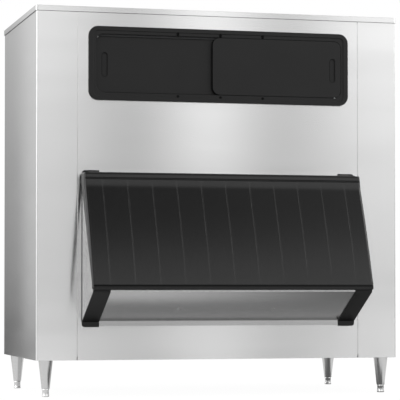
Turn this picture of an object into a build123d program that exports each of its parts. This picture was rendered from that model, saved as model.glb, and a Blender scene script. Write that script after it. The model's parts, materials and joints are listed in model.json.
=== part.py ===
from build123d import *
import os
from math import atan2, cos, degrees, hypot, radians, sin, sqrt

os.makedirs("parts", exist_ok=True)

# An upright ice storage bin on four legs: an insulated cabinet with a sliding window above,
# and below it a hopper with a bowed lift-up door, over three lift-up ice gates.
# Millimetres. X runs to the right, Y to the back and Z up. The origin is on the floor, at
# the middle of the whole bin.

# Driving dimensions
cabinet_width = 1524.0
cabinet_depth = 813.0
cabinet_height = 1424.0
leg_height = 147.0
skin = 1.5
wall_thickness = 50.0
liner_wall = 4.0
corner_radius = 6.0
side_front_width = 168.0
hopper_inset = 18.0
hopper_depth = 222.0
hopper_top_height = 735.0
hopper_nose_height = 317.0
hopper_nose_drop = 41.5
hopper_root_height = 156.0
door_lip_proud = 18.0
window_inset = 44.0
window_height = 299.0
window_head = 77.0

# Fits shared by several pieces
cut_over = 5.0
seat_gap = 0.3
slide_gap = 0.4
shaft_gap = 0.06

# Places that follow from the driving dimensions
half_width = cabinet_width / 2
door_reach = hopper_depth + door_lip_proud
trim_overhang = 3.5
front = (door_reach - cabinet_depth - trim_overhang) / 2
back = front + cabinet_depth
middle = (front + back) / 2
base = leg_height
top = base + cabinet_height
seam_place = half_width - side_front_width
hopper_width = 2 * (seam_place - hopper_inset)
window_width = 2 * (seam_place - window_inset)


def block(low, high, mode=Mode.ADD):
    """Put a box between two corners in the part that is being built."""
    size = [b - a for a, b in zip(low, high)]
    centre = [(a + b) / 2 for a, b in zip(low, high)]
    with Locations(Location(centre)):
        Box(*size, mode=mode)


def finish(piece, name):
    """Label a piece and write its file."""
    piece.label = name
    export_step(piece, "parts/" + name + ".step")


# Cabinet skins: bent stainless sheets, with the seams standing on return flanges
seam_gap = 0.5
seam_flange = 12.0
seam_bend = 1.6
seam_notch_width = 5.0
seam_notch_height = 10.0
back_return = 30.0
trim_height = 21.5
trim_sheet = 2.0
trim_ledge = 40.0
skin_top = top - trim_sheet
inner_half_width = half_width - skin
inner_front = front + skin
inner_back = back - 2 * skin
inner_radius = corner_radius - skin


def bent_sheet(points, radii, height):
    """Extrude a sheet bent along a plan outline, its thickness to the left of the walk."""
    with BuildPart() as sheet:
        with BuildSketch(Plane.XY.offset(base)):
            with BuildLine():
                outline = FilletPolyline(points, radius=radii)
                offset(outline, amount=skin, side=Side.LEFT)
            make_face()
        extrude(amount=height)
    return sheet.part


def cut_seam_notches(side):
    """Nick the foot of the seam on one side."""
    block((side * seam_place - seam_notch_width / 2, front - cut_over, base - cut_over),
          (side * seam_place + seam_notch_width / 2, front + skin + seam_bend,
           base + seam_notch_height), mode=Mode.SUBTRACT)


def cut_seam_slots(low, high):
    """Clear the return flanges of both seams from a piece that fills the cabinet."""
    reach = seam_gap / 2 + seam_bend + seat_gap
    for side in (-1, 1):
        block((side * seam_place - reach, front - cut_over, low),
              (side * seam_place + reach, front + seam_flange + seat_gap, high),
              mode=Mode.SUBTRACT)


side_outline = [(seam_place + seam_gap / 2, front + seam_flange),
                (seam_place + seam_gap / 2, front),
                (half_width, front),
                (half_width, back),
                (half_width - back_return, back)]
with BuildPart() as right_side_panel:
    add(bent_sheet(side_outline, [seam_bend, corner_radius, corner_radius], skin_top - base))
    cut_seam_notches(1)
finish(right_side_panel.part, "right_side_panel")

with BuildPart() as left_side_panel:
    mirror(right_side_panel.part, about=Plane.YZ)
finish(left_side_panel.part, "left_side_panel")

# Window frame sizes, which the front panel is cut for
frame_radius = 39.0
frame_side_face = 30.0
frame_rail_face = 31.0
frame_border_side = 20.0
frame_border_rail = 17.0
frame_proud = 8.0
frame_step = 3.0
frame_body_inset = 14.0
frame_body_depth = 24.0
pane_radius = 30.0
pane_side_gap = 2.0
window_middle = top - window_head - window_height / 2
opening_width = window_width - 2 * frame_side_face
opening_height = window_height - 2 * frame_rail_face
body_width = window_width - 2 * frame_body_inset
body_height = window_height - 2 * frame_body_inset

# Hopper mouth sizes
throat_wall = 4.0
mouth_margin = 26.0
mouth_sill = 9.0
mouth_head = 45.0
mouth_half_width = hopper_width / 2 - mouth_margin
mouth_bottom = base + hopper_root_height + mouth_sill
mouth_top = base + hopper_top_height - mouth_head
cavity_front = front + wall_thickness + liner_wall

with BuildPart() as front_panel:
    edge = seam_place - seam_gap / 2
    add(bent_sheet([(-edge, front + seam_flange), (-edge, front), (edge, front),
                    (edge, front + seam_flange)], [seam_bend, seam_bend], skin_top - base))
    for side in (-1, 1):
        cut_seam_notches(side)
    with BuildSketch(Plane.XZ.offset(-front - skin - cut_over)):
        with Locations((0, window_middle)):
            Rectangle(body_width, body_height)
        with Locations((0, (mouth_bottom + mouth_top) / 2)):
            Rectangle(2 * (mouth_half_width + throat_wall),
                      mouth_top - mouth_bottom + 2 * throat_wall)
    extrude(amount=skin + 2 * cut_over, mode=Mode.SUBTRACT)
finish(front_panel.part, "front_panel")

with BuildPart() as back_panel:
    block((-half_width + corner_radius, back - 2 * skin, base),
          (half_width - corner_radius, back - skin, skin_top))
finish(back_panel.part, "back_panel")

# Top: a trim cap over the skins' upper edges, and a deck with the ice drop opening
deck_sheet = 2.0
deck_top = skin_top
drop_side_margin = 212.0
drop_front_margin = 186.5
drop_back_margin = 146.5
drop_half_width = half_width - drop_side_margin
drop_front = front + drop_front_margin
drop_back = back - drop_back_margin
collar_wall = 4.0
gasket_width = 25.0
gasket_inset = 6.0
gasket_height = trim_sheet
liner_top_gap = 45.0


def inside_plan(inset):
    """Sketch the plan of what stands inside the skins, its corners clipped to miss their bends."""
    with BuildSketch(mode=Mode.PRIVATE) as plan:
        with Locations((0, (inner_front + inner_back) / 2)):
            Rectangle(2 * (inner_half_width - inset), inner_back - inner_front - 2 * inset)
        chamfer(plan.vertices(), length=inner_radius)
    add(plan.sketch)


with BuildPart() as top_trim:
    with BuildSketch(Plane.XY.offset(top - trim_height)):
        with Locations((0, middle)):
            RectangleRounded(cabinet_width + 2 * trim_overhang,
                             cabinet_depth + 2 * trim_overhang,
                             corner_radius + trim_overhang)
    extrude(amount=trim_height)
    with BuildSketch(Plane.XY.offset(top - trim_height)):
        with Locations((0, middle)):
            RectangleRounded(cabinet_width, cabinet_depth, corner_radius)
    extrude(amount=trim_height - trim_sheet, mode=Mode.SUBTRACT)
    with BuildSketch(Plane.XY.offset(top - trim_height)):
        with Locations((0, middle)):
            RectangleRounded(cabinet_width - 2 * trim_ledge, cabinet_depth - 2 * trim_ledge,
                             corner_radius)
    extrude(amount=trim_height + cut_over, mode=Mode.SUBTRACT)
    rim = top_trim.edges().group_by(Axis.Z)[-1]
    outer_rim = [e for e in rim if abs(e.center().X) > half_width - trim_overhang
                 or abs(e.center().Y - middle) > cabinet_depth / 2 - trim_overhang]
    chamfer(outer_rim, length=trim_sheet / 2)
finish(top_trim.part, "top_trim")

with BuildPart() as top_deck:
    with BuildSketch(Plane.XY.offset(deck_top - deck_sheet)):
        inside_plan(0)
    extrude(amount=deck_sheet)
    block((-drop_half_width, drop_front, deck_top - deck_sheet - cut_over),
          (drop_half_width, drop_back, deck_top + cut_over), mode=Mode.SUBTRACT)
    cut_seam_slots(deck_top - deck_sheet - cut_over, deck_top + cut_over)
finish(top_deck.part, "top_deck")

with BuildPart() as drop_gasket:
    block((-drop_half_width - gasket_inset - gasket_width,
           drop_front - gasket_inset - gasket_width, deck_top),
          (drop_half_width + gasket_inset + gasket_width,
           drop_back + gasket_inset + gasket_width, deck_top + gasket_height))
    block((-drop_half_width - gasket_inset, drop_front - gasket_inset, deck_top - cut_over),
          (drop_half_width + gasket_inset, drop_back + gasket_inset,
           deck_top + gasket_height + cut_over), mode=Mode.SUBTRACT)
finish(drop_gasket.part, "drop_gasket")

# Base pan, leg plates, legs and levelling feet
pan_height = 22.0
pan_sheet = 2.0
pan_flange = 30.0
plate_width = 90.0
plate_sheet = 4.0
leg_inset_side = 49.0
leg_inset_front = 54.0
leg_inset_back = 64.0
leg_top_radius = 31.5
leg_foot_radius = 17.5
leg_bolt_radius = 4.0
leg_bolt_head = 4.0
leg_bolt_reach = 40.0
foot_radius = 14.6
foot_height = 32.0
stem_radius = 11.0
stem_height = 62.0
stem_room = 8.0
pan_bottom = base + pan_height
pan_top = pan_bottom + pan_sheet
plate_bottom = pan_bottom - plate_sheet
drain_pipe_radius = 16.0
drain_thread_radius = 16.7
drain_bore_radius = 13.0
drain_inset = 60.0
trough_middle = cavity_front + drain_inset

with BuildPart() as base_pan:
    with BuildSketch(Plane.XY.offset(pan_bottom)):
        inside_plan(0)
    extrude(amount=pan_sheet + pan_flange)
    with BuildSketch(Plane.XY.offset(pan_top)):
        inside_plan(pan_sheet + seam_flange)
    extrude(amount=pan_flange + cut_over, mode=Mode.SUBTRACT)
    with Locations((0, trough_middle, pan_bottom)):
        Cylinder(drain_pipe_radius, 2 * (pan_sheet + cut_over), mode=Mode.SUBTRACT)
    cut_seam_slots(pan_bottom - cut_over, pan_top + pan_flange + cut_over)
finish(base_pan.part, "base_pan")

leg_places = {
    "front_left": (-half_width + leg_inset_side, front + leg_inset_front),
    "front_right": (half_width - leg_inset_side, front + leg_inset_front),
    "back_left": (-half_width + leg_inset_side, back - leg_inset_back),
    "back_right": (half_width - leg_inset_side, back - leg_inset_back),
}
bolt_offset = leg_bolt_reach / sqrt(2)

with BuildPart() as leg_plates:
    for x, y in leg_places.values():
        block((x - plate_width / 2, y - plate_width / 2, plate_bottom),
              (x + plate_width / 2, y + plate_width / 2, pan_bottom))
finish(leg_plates.part, "leg_plates")

with BuildPart() as leg_bolts:
    for x, y in leg_places.values():
        for dx in (-bolt_offset, bolt_offset):
            for dy in (-bolt_offset, bolt_offset):
                with BuildSketch(Plane.XY.offset(plate_bottom)):
                    with Locations((x + dx, y + dy)):
                        RegularPolygon(leg_bolt_radius, 6)
                extrude(amount=-leg_bolt_head)
finish(leg_bolts.part, "leg_bolts")


def foot(place):
    """A levelling foot: a turned pad with a stem that runs up into the leg."""
    with BuildPart() as pad:
        with BuildSketch(Plane.XZ):
            with BuildLine():
                Polyline((0, 0), (foot_radius, 0), (foot_radius, foot_height),
                         (stem_radius, foot_height), (stem_radius, foot_height + stem_height),
                         (0, foot_height + stem_height), close=True)
            make_face()
        revolve(axis=Axis.Z)
    return pad.part.moved(Location((*place, 0)))


# a tapered tube welded to its plate, with a socket for the foot's stem below
with BuildPart() as leg:
    foot_top = foot_height + seat_gap
    with BuildSketch(Plane.XY.offset(foot_top)):
        Circle(leg_foot_radius)
    with BuildSketch(Plane.XY.offset(plate_bottom)):
        Circle(leg_top_radius)
    loft(ruled=True)
    socket = stem_height + stem_room
    with Locations((0, 0, foot_top + socket / 2)):
        Cylinder(stem_radius + shaft_gap, socket, mode=Mode.SUBTRACT)

with BuildPart() as legs:
    for place in leg_places.values():
        add(leg.part.moved(Location((*place, 0))))
finish(legs.part, "legs")

for corner, place in leg_places.items():
    finish(foot(place), "foot_" + corner)

# Liner: polyethylene sheets welded at the corners, with a level trough at the front and a
# floor that climbs to the back
trough_width = 130.0
trough_height = 68.0
floor_back_height = 217.0
cavity_half_width = half_width - wall_thickness - liner_wall
cavity_back = back - wall_thickness - liner_wall
cavity_top = deck_top - deck_sheet - liner_top_gap - liner_wall
trough_floor = base + trough_height
trough_back = cavity_front + trough_width
floor_back = base + floor_back_height


def across(points, low, high, mode=Mode.ADD):
    """Extrude an outline in Y and Z from one X to another, in the part that is being built."""
    with BuildSketch(Plane.YZ.offset(low)) as outline:
        with BuildLine():
            Polyline(points, close=True)
        make_face()
    extrude(outline.sketch, amount=high - low, mode=mode)


liner_outline = [(cavity_front - liner_wall, trough_floor - liner_wall),
                 (trough_back, trough_floor - liner_wall),
                 (cavity_back, floor_back - liner_wall),
                 (cavity_back + liner_wall, floor_back - liner_wall),
                 (cavity_back + liner_wall, cavity_top + liner_wall),
                 (cavity_front - liner_wall, cavity_top + liner_wall)]

# Openings through the wall: a sleeve for the window, a throat for the hopper and a collar
# for the ice drop
sleeve_wall = 4.0
sleeve_front = front + frame_body_depth


def window_sleeve_form(grow, low, high):
    """Corners of the window's passage through the wall."""
    return ((-opening_width / 2 - grow, low, window_middle - opening_height / 2 - grow),
            (opening_width / 2 + grow, high, window_middle + opening_height / 2 + grow))


def mouth_form(grow, low, high):
    """Corners of the hopper mouth's passage through the wall."""
    return ((-mouth_half_width - grow, low, mouth_bottom - grow),
            (mouth_half_width + grow, high, mouth_top + grow))


def drop_form(grow, low, high):
    """Corners of the ice drop's passage through the top."""
    return ((-drop_half_width - grow, drop_front - grow, low),
            (drop_half_width + grow, drop_back + grow, high))


with BuildPart() as liner_right:
    across(liner_outline, cavity_half_width, cavity_half_width + liner_wall)
finish(liner_right.part, "liner_right")

with BuildPart() as liner_left:
    mirror(liner_right.part, about=Plane.YZ)
finish(liner_left.part, "liner_left")

with BuildPart() as liner_front:
    block((-cavity_half_width, cavity_front - liner_wall, trough_floor - liner_wall),
          (cavity_half_width, cavity_front, cavity_top + liner_wall))
    block(*window_sleeve_form(sleeve_wall, front, cavity_front + cut_over), mode=Mode.SUBTRACT)
    block(*mouth_form(throat_wall, front, cavity_front + cut_over), mode=Mode.SUBTRACT)
finish(liner_front.part, "liner_front")

with BuildPart() as liner_back:
    block((-cavity_half_width, cavity_back, floor_back - liner_wall),
          (cavity_half_width, cavity_back + liner_wall, cavity_top + liner_wall))
finish(liner_back.part, "liner_back")

with BuildPart() as liner_top:
    block((-cavity_half_width, cavity_front, cavity_top),
          (cavity_half_width, cavity_back, cavity_top + liner_wall))
    block(*drop_form(collar_wall, cavity_top - cut_over, top), mode=Mode.SUBTRACT)
finish(liner_top.part, "liner_top")

with BuildPart() as liner_floor:
    across([(cavity_front, trough_floor - liner_wall), (trough_back, trough_floor - liner_wall),
            (cavity_back, floor_back - liner_wall), (cavity_back, floor_back),
            (trough_back, trough_floor), (cavity_front, trough_floor)],
           -cavity_half_width, cavity_half_width)
    with Locations((0, trough_middle, trough_floor)):
        Cylinder(drain_pipe_radius, 2 * (liner_wall + cut_over), mode=Mode.SUBTRACT)
finish(liner_floor.part, "liner_floor")

with BuildPart() as insulation:
    with BuildSketch(Plane.XY.offset(pan_top)):
        inside_plan(pan_sheet + seam_flange)
    extrude(amount=pan_flange)
    with BuildSketch(Plane.XY.offset(pan_top + pan_flange)):
        inside_plan(0)
    extrude(amount=deck_top - deck_sheet - pan_top - pan_flange)
    across(liner_outline, -cavity_half_width - liner_wall, cavity_half_width + liner_wall,
           mode=Mode.SUBTRACT)
    cut_seam_slots(pan_top - cut_over, deck_top)
    with BuildSketch(Plane.XZ.offset(-sleeve_front)):
        with Locations((0, window_middle)):
            Rectangle(body_width, body_height)
    extrude(amount=frame_body_depth + cut_over, mode=Mode.SUBTRACT)
    block(*window_sleeve_form(sleeve_wall, front, cavity_front), mode=Mode.SUBTRACT)
    block(*mouth_form(throat_wall, front, cavity_front), mode=Mode.SUBTRACT)
    block(*drop_form(collar_wall, cavity_top, top), mode=Mode.SUBTRACT)
    with Locations((0, trough_middle, base + trough_height / 2)):
        Cylinder(drain_pipe_radius, 2 * trough_height, mode=Mode.SUBTRACT)
finish(insulation.part, "insulation")

with BuildPart() as hopper_throat:
    block(*mouth_form(throat_wall, front, cavity_front))
    block(*mouth_form(0, front - cut_over, cavity_front + cut_over), mode=Mode.SUBTRACT)
finish(hopper_throat.part, "hopper_throat")

with BuildPart() as window_sleeve:
    block(*window_sleeve_form(sleeve_wall, sleeve_front, cavity_front))
    block(*window_sleeve_form(0, sleeve_front - cut_over, cavity_front + cut_over),
          mode=Mode.SUBTRACT)
finish(window_sleeve.part, "window_sleeve")

with BuildPart() as drop_collar:
    block(*drop_form(collar_wall, cavity_top, deck_top - deck_sheet))
    block(*drop_form(0, cavity_top - cut_over, deck_top + cut_over), mode=Mode.SUBTRACT)
finish(drop_collar.part, "drop_collar")

# Drain: a flanged tailpiece in the trough, with a slotted strainer on it
drain_flange_radius = 38.0
drain_flange = 4.0
drain_end_height = 2.0
strainer_radius = 34.0
strainer_sheet = 1.5
strainer_slot = 4.0
strainer_slot_length = 44.0
strainer_pitch = 9.0
strainer_slots = 5

with BuildPart() as drain_fitting:
    with BuildSketch(Plane.XY.offset(base + drain_end_height)):
        with Locations((0, trough_middle)):
            Circle(drain_pipe_radius)
    extrude(amount=trough_height - drain_end_height)
    with BuildSketch(Plane.XY.offset(base + drain_end_height)):
        with Locations((0, trough_middle)):
            Circle(drain_thread_radius)
    extrude(amount=pan_height - drain_end_height)
    with BuildSketch(Plane.XY.offset(trough_floor)):
        with Locations((0, trough_middle)):
            Circle(drain_flange_radius)
    extrude(amount=drain_flange)
    with BuildSketch(Plane.XY.offset(base)):
        with Locations((0, trough_middle)):
            Circle(drain_bore_radius)
    extrude(amount=trough_height + drain_flange + cut_over, mode=Mode.SUBTRACT)
finish(drain_fitting.part, "drain_fitting")

with BuildPart() as drain_strainer:
    with BuildSketch(Plane.XY.offset(base + trough_height + drain_flange)):
        with Locations((0, trough_middle)):
            Circle(strainer_radius)
            with GridLocations(strainer_pitch, strainer_pitch, strainer_slots, 1):
                Rectangle(strainer_slot, strainer_slot_length, mode=Mode.SUBTRACT)
    extrude(amount=strainer_sheet)
finish(drain_strainer.part, "drain_strainer")

# Ice gates: three panels that lift in upright channels inside the hopper throat
guide_setback = 8.0
guide_front = front + guide_setback
guide_depth = 12.0
guide_web = 3.0
guide_slot = 6.5
gate_sheet = 4.0
gate_height = 300.0
gate_grip_reach = 26.0
gate_grip_drop = 12.0
gate_shoulder = 1.2
gate_pitch = 2 * mouth_half_width / 3
gate_slot_width = gate_sheet + 2 * slide_gap
gate_middle = guide_front + guide_depth / 2
gate_front = gate_middle - gate_sheet / 2


def guide(name, place, slot_sides):
    """An upright channel with a gate slot on each of the given sides."""
    low_reach = guide_web / 2 + (guide_slot if -1 in slot_sides else 0)
    high_reach = guide_web / 2 + (guide_slot if 1 in slot_sides else 0)
    with BuildPart() as channel:
        block((place - low_reach, guide_front, mouth_bottom),
              (place + high_reach, guide_front + guide_depth, mouth_top))
        for side in slot_sides:
            near = place + side * guide_web / 2
            far = near + side * (guide_slot + cut_over)
            block((min(near, far), gate_middle - gate_slot_width / 2, mouth_bottom - cut_over),
                  (max(near, far), gate_middle + gate_slot_width / 2, mouth_top + cut_over),
                  mode=Mode.SUBTRACT)
    finish(channel.part, name)


guide("gate_guide_left", -mouth_half_width + guide_web / 2, [1])
guide("gate_guide_middle_left", -gate_pitch / 2, [-1, 1])
guide("gate_guide_middle_right", gate_pitch / 2, [-1, 1])
guide("gate_guide_right", mouth_half_width - guide_web / 2, [-1])


def gate(name, low, high):
    """A gate panel between two channel webs, with a bent grip along its top."""
    bottom = mouth_bottom + seat_gap
    clear = guide_slot + gate_shoulder
    with BuildPart() as panel:
        block((low + slide_gap, gate_front, bottom),
              (high - slide_gap, gate_front + gate_sheet, bottom + gate_height))
        block((low + clear, gate_front - gate_grip_reach, bottom + gate_height - gate_sheet),
              (high - clear, gate_front, bottom + gate_height))
        block((low + clear, gate_front - gate_grip_reach,
               bottom + gate_height - gate_grip_drop),
              (high - clear, gate_front - gate_grip_reach + gate_sheet,
               bottom + gate_height - gate_sheet))
    finish(panel.part, name)


gate("gate_left", -mouth_half_width + guide_web, -gate_pitch / 2 - guide_web / 2)
gate("gate_middle", -gate_pitch / 2 + guide_web / 2, gate_pitch / 2 - guide_web / 2)
gate("gate_right", gate_pitch / 2 + guide_web / 2, mouth_half_width - guide_web)

# Hopper: stainless cheeks and bottom, held between two moulded end frames that carry the
# hinge rod. In this section places on a side outline are (ahead of the cabinet, height).
cheek_half_width = hopper_width / 2
hopper_top = base + hopper_top_height
nose_top = base + hopper_nose_height
nose_bottom = nose_top - hopper_nose_drop
root = base + hopper_root_height
lean = hopper_depth / (hopper_top - nose_top)
lean_length = hypot(1, lean)
slope_length = hypot(hopper_depth, nose_bottom - root)
slope_rise = (nose_bottom - root) / slope_length
slope_run = hopper_depth / slope_length
hinge_out = 58.0
hinge_rise = 5.5
hinge_y = front - hinge_out
hinge_z = hopper_top + hinge_rise
cheek_tip = 54.0
cheek_cut = hopper_top - cheek_tip
frame_plate = 5.0
frame_rim = 12.0
frame_rim_width = 16.0
frame_strip_width = 70.0
frame_strip = 4.0
frame_flange_drop = 23.0
frame_flange_radius = 12.0
frame_top_rise = 29.0
frame_top_height = 46.0
arm_angle = -70.0
arm_half_width = 8.0
hub_radius = 9.5
rod_radius = 4.75


def at(out, height):
    """A point of a side outline, in the cabinet's Y and Z."""
    return (front - out, height)


def out_at(height, inset=0.0):
    """How far ahead of the cabinet the cheeks' front edge is at a height."""
    return (hopper_top - height) * lean - inset * lean_length


def profile(points, low, high, mode=Mode.ADD):
    """Extrude a side outline from one X to another, in the part that is being built."""
    with BuildSketch(Plane.YZ.offset(low)) as outline:
        with BuildLine():
            Polyline([at(*p) for p in points], close=True)
        make_face()
    extrude(outline.sketch, amount=high - low, mode=mode)


def mirrored(piece, name):
    """Write a right-hand piece and its left-hand mirror image."""
    finish(piece, "right_" + name)
    with BuildPart() as other:
        mirror(piece, about=Plane.YZ)
    finish(other.part, "left_" + name)


with BuildPart() as cheek:
    profile([(0, root), (hopper_depth, nose_bottom), (hopper_depth, nose_top),
             (out_at(cheek_cut), cheek_cut), (0, cheek_cut)],
            cheek_half_width - skin, cheek_half_width)
mirrored(cheek.part, "cheek")

with BuildPart() as end_frame:
    plate_outer = cheek_half_width - skin
    plate_inner = plate_outer - frame_plate
    rim_inner = plate_outer - frame_rim
    shoulder_top = hopper_top + frame_top_rise
    # the plate inside the cheek, and its thicker rim under the door's edge
    profile([(0, root), (hopper_depth, nose_bottom), (hopper_depth, nose_top),
             (out_at(cheek_cut), cheek_cut), (0, cheek_cut)], plate_inner, plate_outer)
    rim_low = nose_top
    profile([(out_at(rim_low, frame_rim_width), rim_low), (out_at(rim_low), rim_low),
             (out_at(cheek_cut), cheek_cut), (out_at(cheek_cut, frame_rim_width), cheek_cut)],
            rim_inner, plate_outer)
    # the shoulder over the cheek's tip, which carries on to the hinge arm
    arm_root = hinge_z - hinge_out / 2
    profile([(0, cheek_cut), (out_at(cheek_cut), cheek_cut),
             (out_at(arm_root), arm_root), (frame_strip, shoulder_top - frame_top_height),
             (0, shoulder_top - frame_top_height)], rim_inner, cheek_half_width)
    arm_run = cos(radians(arm_angle))
    arm_rise = sin(radians(arm_angle))
    arm_length = (hinge_out + hinge_rise * lean) / (arm_run - arm_rise * lean)
    arm_length += frame_rim_width / 2
    across_out = -arm_rise * arm_half_width
    across_up = -arm_run * arm_half_width
    tip_out = hinge_out - arm_run * arm_length
    tip_up = hinge_z + arm_rise * arm_length
    profile([(hinge_out + across_out, hinge_z + across_up),
             (tip_out + across_out, tip_up + across_up),
             (tip_out - across_out, tip_up - across_up),
             (hinge_out - across_out, hinge_z - across_up)], rim_inner, plate_outer)
    with BuildSketch(Plane.YZ.offset(rim_inner)):
        with Locations((hinge_y, hinge_z)):
            Circle(hub_radius)
    extrude(amount=frame_rim)
    # the strip under the hopper bottom, turned up at the nose
    strip_drop = frame_strip / slope_run
    strip_inner = cheek_half_width - frame_strip_width
    profile([(0, root - strip_drop), (hopper_depth + frame_strip,
                                      nose_bottom - strip_drop + frame_strip * slope_rise
                                      / slope_run),
             (hopper_depth + frame_strip, nose_top - hopper_nose_drop / 2),
             (hopper_depth, nose_top - hopper_nose_drop / 2), (hopper_depth, nose_bottom),
             (0, root)], strip_inner, cheek_half_width)
    # the flanges on the front panel, each with its outer corner rounded
    with BuildSketch(Plane.XZ.offset(-front)) as flanges:
        low_middle = root - frame_flange_drop / 2
        with Locations(((strip_inner + cheek_half_width) / 2, low_middle)):
            Rectangle(frame_strip_width, frame_flange_drop)
        with Locations(((strip_inner + cheek_half_width) / 2,
                        shoulder_top - frame_top_height / 2)):
            Rectangle(frame_strip_width, frame_top_height)
        corners = flanges.vertices().group_by(Axis.X)[-1].sort_by(Axis.Y)
        fillet([corners[0], corners[-1]], radius=frame_flange_radius)
    extrude(amount=frame_strip)
    with BuildSketch(Plane.YZ.offset(rim_inner - cut_over)):
        with Locations((hinge_y, hinge_z)):
            Circle(rod_radius)
    extrude(amount=frame_rim + cut_over, mode=Mode.SUBTRACT)
mirrored(end_frame.part, "end_frame")

# Hopper bottom: one bent sheet with a flange on the front panel, turned up at the nose
bottom_flange_drop = 19.0
with BuildPart() as hopper_bottom:
    end_clear = cheek_half_width - skin - frame_plate - seat_gap
    flange_half = cheek_half_width - frame_strip_width - seat_gap
    lift = skin / slope_run
    profile([(0, root), (hopper_depth, nose_bottom),
             (hopper_depth, nose_top - seat_gap), (hopper_depth - skin, nose_top - seat_gap),
             (hopper_depth - skin, nose_bottom + lift - skin * slope_rise / slope_run),
             (0, root + lift)], -end_clear, end_clear)
    block((-flange_half, front - skin, root - bottom_flange_drop),
          (flange_half, front, root + lift))
finish(hopper_bottom.part, "hopper_bottom")

screw_radius = 4.0
screw_head = 1.6
screw_place = 200.0
screw_slope_share = 0.42
with BuildPart() as hopper_screws:
    slope_y = front - hopper_depth * screw_slope_share
    slope_z = root + (nose_bottom - root) * screw_slope_share
    under = Plane(origin=(0, slope_y, slope_z), x_dir=(1, 0, 0),
                  z_dir=(0, -slope_rise, -slope_run))
    with BuildSketch(under):
        with Locations((-screw_place, 0), (screw_place, 0)):
            RegularPolygon(screw_radius, 6)
    extrude(amount=screw_head)
finish(hopper_screws.part, "hopper_screws")

with BuildPart() as hinge_rod:
    with BuildSketch(Plane.YZ.offset(-cheek_half_width + skin)):
        with Locations((hinge_y, hinge_z)):
            Circle(rod_radius)
    extrude(amount=2 * (cheek_half_width - skin))
finish(hinge_rod.part, "hinge_rod")

# Hopper door: a hollow moulding, thick at the hinge and thin at the grab lip, with a bowed
# front in shallow ribs and a pocket at each end for the hinge arm
door_side_lap = 5.0
barrel_radius = 13.5
band_height = 44.5
band_angle = 12.6
band_blend = 80.0
bow_rise = 6.5
lip_radius = 5.5
lip_drop = 35.0
door_back_gap = 14.0
door_end_radius = 10.0
door_wall = 5.0
door_end_wall = 5.6
arm_room = 1.0
lip_groove_radius = 4.0
lip_groove_sink = 1.0
barrel_groove_radius = 3.5
barrel_groove_drop = 11.5
barrel_groove_sink = 3.6
rib_count = 11
rib_margin = 68.0
rib_pitch = (hopper_width - 2 * rib_margin) / (rib_count - 1)
rib_groove_width = 3.0
rib_groove_depth = 1.5
door_half_width = cheek_half_width + door_side_lap
door_bottom = nose_top - lip_drop
barrel_top = hinge_z + barrel_radius
band_cos = cos(radians(band_angle))
band_sin = sin(radians(band_angle))
band_start = (hinge_out + barrel_radius * band_cos, hinge_z + barrel_radius * band_sin)
band_end = (band_start[0] + band_height * band_sin / band_cos, band_start[1] - band_height)
lip_centre = (door_reach - lip_radius, door_bottom + lip_radius)
bow_angle = atan2(lip_centre[0] - band_end[0], band_end[1] - lip_centre[1])
bow_end = (lip_centre[0] + lip_radius * cos(bow_angle),
           lip_centre[1] + lip_radius * sin(bow_angle))
bow_middle = ((band_end[0] + bow_end[0]) / 2 + bow_rise * cos(bow_angle),
              (band_end[1] + bow_end[1]) / 2 + bow_rise * sin(bow_angle))
hinge_to_cheeks = (hinge_out + hinge_rise * lean) / lean_length - seat_gap
back_corner = (hinge_out - hinge_to_cheeks / lean_length,
               hinge_z - hinge_to_cheeks * lean / lean_length)
lip_back = hopper_depth + frame_strip + slide_gap
inner_bottom = (lip_back, hopper_top - (lip_back - seat_gap * lean_length) / lean)

with BuildSketch(Plane.YZ) as door_outline:
    with BuildLine():
        Line(at(*inner_bottom), at(*back_corner))
        Line(at(*back_corner), at(door_back_gap, barrel_top))
        Line(at(door_back_gap, barrel_top), at(hinge_out, barrel_top))
        ThreePointArc(at(hinge_out, barrel_top),
                      at(hinge_out + barrel_radius / sqrt(2), hinge_z + barrel_radius / sqrt(2)),
                      at(*band_start))
        Line(at(*band_start), at(*band_end))
        ThreePointArc(at(*band_end), at(*bow_middle), at(*bow_end))
        ThreePointArc(at(*bow_end), at(lip_centre[0] + lip_radius, lip_centre[1]),
                      at(lip_centre[0], door_bottom))
        Line(at(lip_centre[0], door_bottom), at(lip_back, door_bottom))
        Line(at(lip_back, door_bottom), at(*inner_bottom))
    make_face()
    blend = door_outline.vertices().sort_by_distance(at(*band_end))[0]
    fillet(blend, radius=band_blend)

# The hollow behind the front wall runs along the inner face, clear of the ends and the hinge
core_low = 34.0
core_high = 52.0
core_half_width = cheek_half_width - skin - frame_rim - arm_room - door_wall
inner_length = hypot(inner_bottom[0] - back_corner[0], back_corner[1] - inner_bottom[1])
core_length = inner_length - core_low - core_high
core_share = (core_low + core_length / 2) / inner_length
core_middle = (inner_bottom[0] + (back_corner[0] - inner_bottom[0]) * core_share,
               inner_bottom[1] + (back_corner[1] - inner_bottom[1]) * core_share)
lean_angle = degrees(atan2(1, lean))
door_liner_sheet = 3.0


def behind_front(distance):
    """The move from the door's front towards its inner face."""
    return Location((distance / lean_length, -distance * lean / lean_length))


def along_inner(depth, inset, mode=Mode.INTERSECT):
    """A strip of the side outline that runs along the door's inner face."""
    shift = inset + depth / 2
    centre = at(core_middle[0] + shift / lean_length, core_middle[1] + shift * lean / lean_length)
    with Locations(Location(centre, lean_angle)):
        Rectangle(core_length, depth, mode=mode)


with BuildPart() as door_hollow:
    with BuildSketch(Plane.YZ) as hollow_outline:
        add(door_outline.sketch_local.moved(behind_front(door_wall)))
        along_inner(hopper_depth, -cut_over)
    extrude(hollow_outline.sketch, amount=core_half_width, both=True)


def groove(centre, radius):
    """Plough a round-bottomed groove along the whole door."""
    with BuildSketch(Plane.YZ) as tool:
        with Locations(at(*centre)):
            Circle(radius)
    extrude(tool.sketch, amount=door_half_width + cut_over, both=True, mode=Mode.SUBTRACT)


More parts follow.
